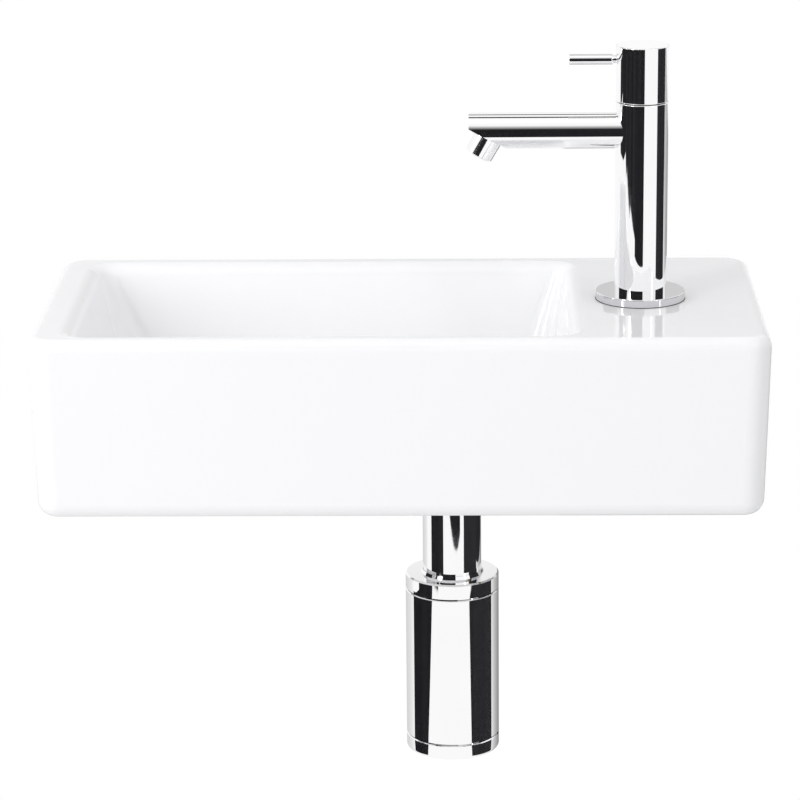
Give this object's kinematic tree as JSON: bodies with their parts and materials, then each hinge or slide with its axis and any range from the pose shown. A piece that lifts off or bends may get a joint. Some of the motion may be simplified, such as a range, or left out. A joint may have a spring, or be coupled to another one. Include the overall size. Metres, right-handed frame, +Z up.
{
  "type": "hand basin",
  "caption": "Small rectangular wall-hung ceramic hand basin with a side deck, a chrome pillar tap with pin lever and a chrome bottle trap below.",
  "frame": {"origin": "on the wall plane, midway between the centres of the two wall fixing holes", "axes": "+X to the right seen from the front, +Y into the wall, +Z up"},
  "size_m": [0.3848, 0.1849, 0.3939],
  "materials": {
    "glazed_ceramic": "gloss",
    "chrome": "polished",
    "brass": "machined",
    "rubber": "matt",
    "valve_ceramic": "lapped",
    "steel": "satin",
    "plastic": "satin"
  },
  "bodies": {
    "root": {"basin": "glazed_ceramic", "tap_flange": "chrome", "flange_seal": "rubber", "tap_body": "chrome", "spout": "chrome", "aerator_housing": "chrome", "aerator_seal": "rubber", "aerator_insert": "plastic", "cartridge_body": "brass", "cartridge_seal": "rubber", "fixed_disc": "valve_ceramic", "tap_shank": "brass", "deck_washer": "rubber", "clamp_washer": "steel", "tap_backnut": "brass", "waste_body": "chrome", "waste_strainer": "chrome", "waste_top_seal": "rubber", "waste_bottom_seal": "rubber", "waste_slip_washer": "plastic", "waste_backnut": "brass", "union_nut": "chrome", "union_seal": "rubber", "dip_tube": "chrome"},
    "handle": {"handle_cap": "chrome", "lever_pin": "chrome", "grub_screw": "steel", "spindle": "brass", "spindle_seal": "rubber", "moving_disc": "valve_ceramic"},
    "gland": {"collar_nut": "chrome", "slip_ring": "plastic", "gland_seal": "rubber"},
    "bottle": {"trap_body": "chrome", "outlet_spigot": "chrome", "outlet_nut": "chrome", "outlet_seal": "rubber", "outlet_slip_ring": "plastic"},
    "cap_ring": {"cap_seal": "rubber"},
    "cap": {"cleaning_cap": "chrome"}
  },
  "joints": [
    {"name": "lever_turn", "type": "hinge", "parent": "root", "child": "handle", "pos_m": [0.128, -0.0965, 0.1915], "axis": [0, 0, 1], "range_deg": [0, 90]},
    {"name": "bottle_height", "type": "slide", "parent": "root", "child": "gland", "axis": [0, 0, 1], "range_m": [-0.02, 0.008]},
    {"name": "bottle_swivel", "type": "hinge", "parent": "gland", "child": "bottle", "pos_m": [0.0263, -0.094, -0.1], "axis": [0, 0, 1], "range_deg": [-90, 90]},
    {"name": "cap_travel", "type": "slide", "parent": "bottle", "child": "cap_ring", "axis": [0, 0, -1], "range_m": [0, 0.012]},
    {"name": "cap_turn", "type": "hinge", "parent": "cap_ring", "child": "cap", "pos_m": [0.0263, -0.094, -0.19], "axis": [0, 0, -1], "range_deg": [0, 1440]}
  ],
  "couplings": [
    {"joint": "cap_travel", "follows": "cap_turn", "m_per_rad": 0.00047746}
  ]
}
